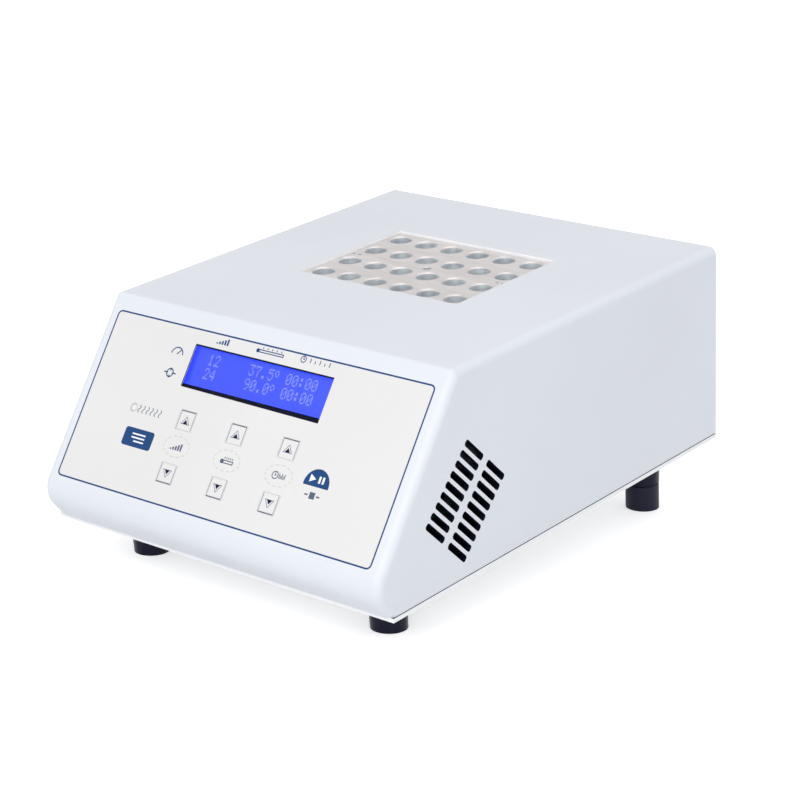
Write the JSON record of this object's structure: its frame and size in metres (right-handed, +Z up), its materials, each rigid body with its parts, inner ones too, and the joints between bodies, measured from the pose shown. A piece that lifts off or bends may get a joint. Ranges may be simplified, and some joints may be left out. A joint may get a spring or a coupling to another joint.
{
  "type": "dry bath incubator",
  "caption": "Bench heater with a sloped control panel, a lit display, keys and a lift-out metal block of wells for sample tubes, on tall round feet.",
  "frame": {"origin": "centre of the object's extent from side to side and from front to back, at the level that it stands on", "axes": "+X to the right as seen from the front, +Y from the front panel to the back, +Z up"},
  "size_m": [0.202, 0.2588, 0.1339],
  "materials": {
    "casing": "smooth",
    "chassis": "satin",
    "film": "satin",
    "blue_key": "satin",
    "pane": "clear",
    "bezel": "matt",
    "display_blue": "clear",
    "backlight": "lit",
    "circuit_board": "satin",
    "switch_black": "satin",
    "lamp": "clear",
    "block_metal": "anodised, satin",
    "aluminium": "plain",
    "gasket": "matt",
    "heater": "matt",
    "insulation": "soft",
    "steel": "plated",
    "foot_black": "glossy",
    "riser_black": "matt",
    "core": "varnished",
    "winding": "enamelled",
    "capacitor": "sleeved",
    "terminal": "satin",
    "contact": "plated",
    "fuse_glass": "clear",
    "fuse_metal": "bright",
    "rocker": "glossy"
  },
  "bodies": {
    "case": {"base_plate": "chassis", "block_well": "aluminium", "board_screws": "steel", "board_standoffs": "steel", "case_screws": "steel", "chassis_screws": "steel", "clamp_plate": "aluminium", "control_board": "circuit_board", "display_backlight": "backlight", "display_bezel": "bezel", "display_board": "circuit_board", "display_glass": "display_blue", "display_window": "pane", "filter_capacitor": "capacitor", "foot_nuts": "steel", "foot_studs": "steel", "front_feet": "foot_black", "front_overlay": "film", "heater_mat": "heater", "inlet_pins": "contact", "inlet_socket": "switch_black", "insulation_jacket": "insulation", "key_switches": "switch_black", "keypad_board": "circuit_board", "power_switch": "switch_black", "rear_feet": "foot_black", "rear_foot_risers": "riser_black", "rear_panel": "chassis", "rear_panel_screws": "steel", "riser_screws": "steel", "status_lamp": "lamp", "switch_tabs": "contact", "temperature_sensor": "steel", "terminal_block": "terminal", "thermal_cutout": "switch_black", "top_cover": "casing", "transformer_coil": "winding", "transformer_core": "core", "triac": "switch_black", "triac_heat_sink": "aluminium", "well_gasket": "gasket", "well_screws": "steel", "well_spacers": "steel"},
    "lift_out_block": {"heating_block": "block_metal"},
    "fuse_carrier": {"fuse_drawer": "switch_black", "fuse_tube": "fuse_glass", "fuse_caps": "fuse_metal"},
    "rocker": {"switch_rocker": "rocker"},
    "key_step_up": {"key_step_up": "film"},
    "key_step_down": {"key_step_down": "film"},
    "key_temperature_up": {"key_temperature_up": "film"},
    "key_temperature_down": {"key_temperature_down": "film"},
    "key_time_up": {"key_time_up": "film"},
    "key_time_down": {"key_time_down": "film"},
    "key_program": {"key_program": "blue_key"},
    "key_start_stop": {"key_start_stop": "blue_key"}
  },
  "joints": [
    {"name": "block_lift", "type": "slide", "parent": "case", "child": "lift_out_block", "axis": [0, -0.0711, 0.9975], "range_m": [0, 0.056]},
    {"name": "fuse_drawer_slide", "type": "slide", "parent": "case", "child": "fuse_carrier", "axis": [0, 0.9975, 0.0711], "range_m": [0, 0.024]},
    {"name": "rocker_tilt", "type": "hinge", "parent": "case", "child": "rocker", "pos_m": [-0.01, 0.12448, 0.08052], "axis": [-1, 0, 0], "range_deg": [0, 18]},
    {"name": "key_step_up_press", "type": "slide", "parent": "case", "child": "key_step_up", "axis": [0, 0.8469, -0.5317], "range_m": [0, 0.0004], "stiffness_N_per_m": 4000},
    {"name": "key_step_down_press", "type": "slide", "parent": "case", "child": "key_step_down", "axis": [0, 0.8469, -0.5317], "range_m": [0, 0.0004], "stiffness_N_per_m": 4000},
    {"name": "key_temperature_up_press", "type": "slide", "parent": "case", "child": "key_temperature_up", "axis": [0, 0.8469, -0.5317], "range_m": [0, 0.0004], "stiffness_N_per_m": 4000},
    {"name": "key_temperature_down_press", "type": "slide", "parent": "case", "child": "key_temperature_down", "axis": [0, 0.8469, -0.5317], "range_m": [0, 0.0004], "stiffness_N_per_m": 4000},
    {"name": "key_time_up_press", "type": "slide", "parent": "case", "child": "key_time_up", "axis": [0, 0.8469, -0.5317], "range_m": [0, 0.0004], "stiffness_N_per_m": 4000},
    {"name": "key_time_down_press", "type": "slide", "parent": "case", "child": "key_time_down", "axis": [0, 0.8469, -0.5317], "range_m": [0, 0.0004], "stiffness_N_per_m": 4000},
    {"name": "key_program_press", "type": "slide", "parent": "case", "child": "key_program", "axis": [0, 0.8469, -0.5317], "range_m": [0, 0.0004], "stiffness_N_per_m": 4000},
    {"name": "key_start_stop_press", "type": "slide", "parent": "case", "child": "key_start_stop", "axis": [0, 0.8469, -0.5317], "range_m": [0, 0.0004], "stiffness_N_per_m": 4000}
  ]
}
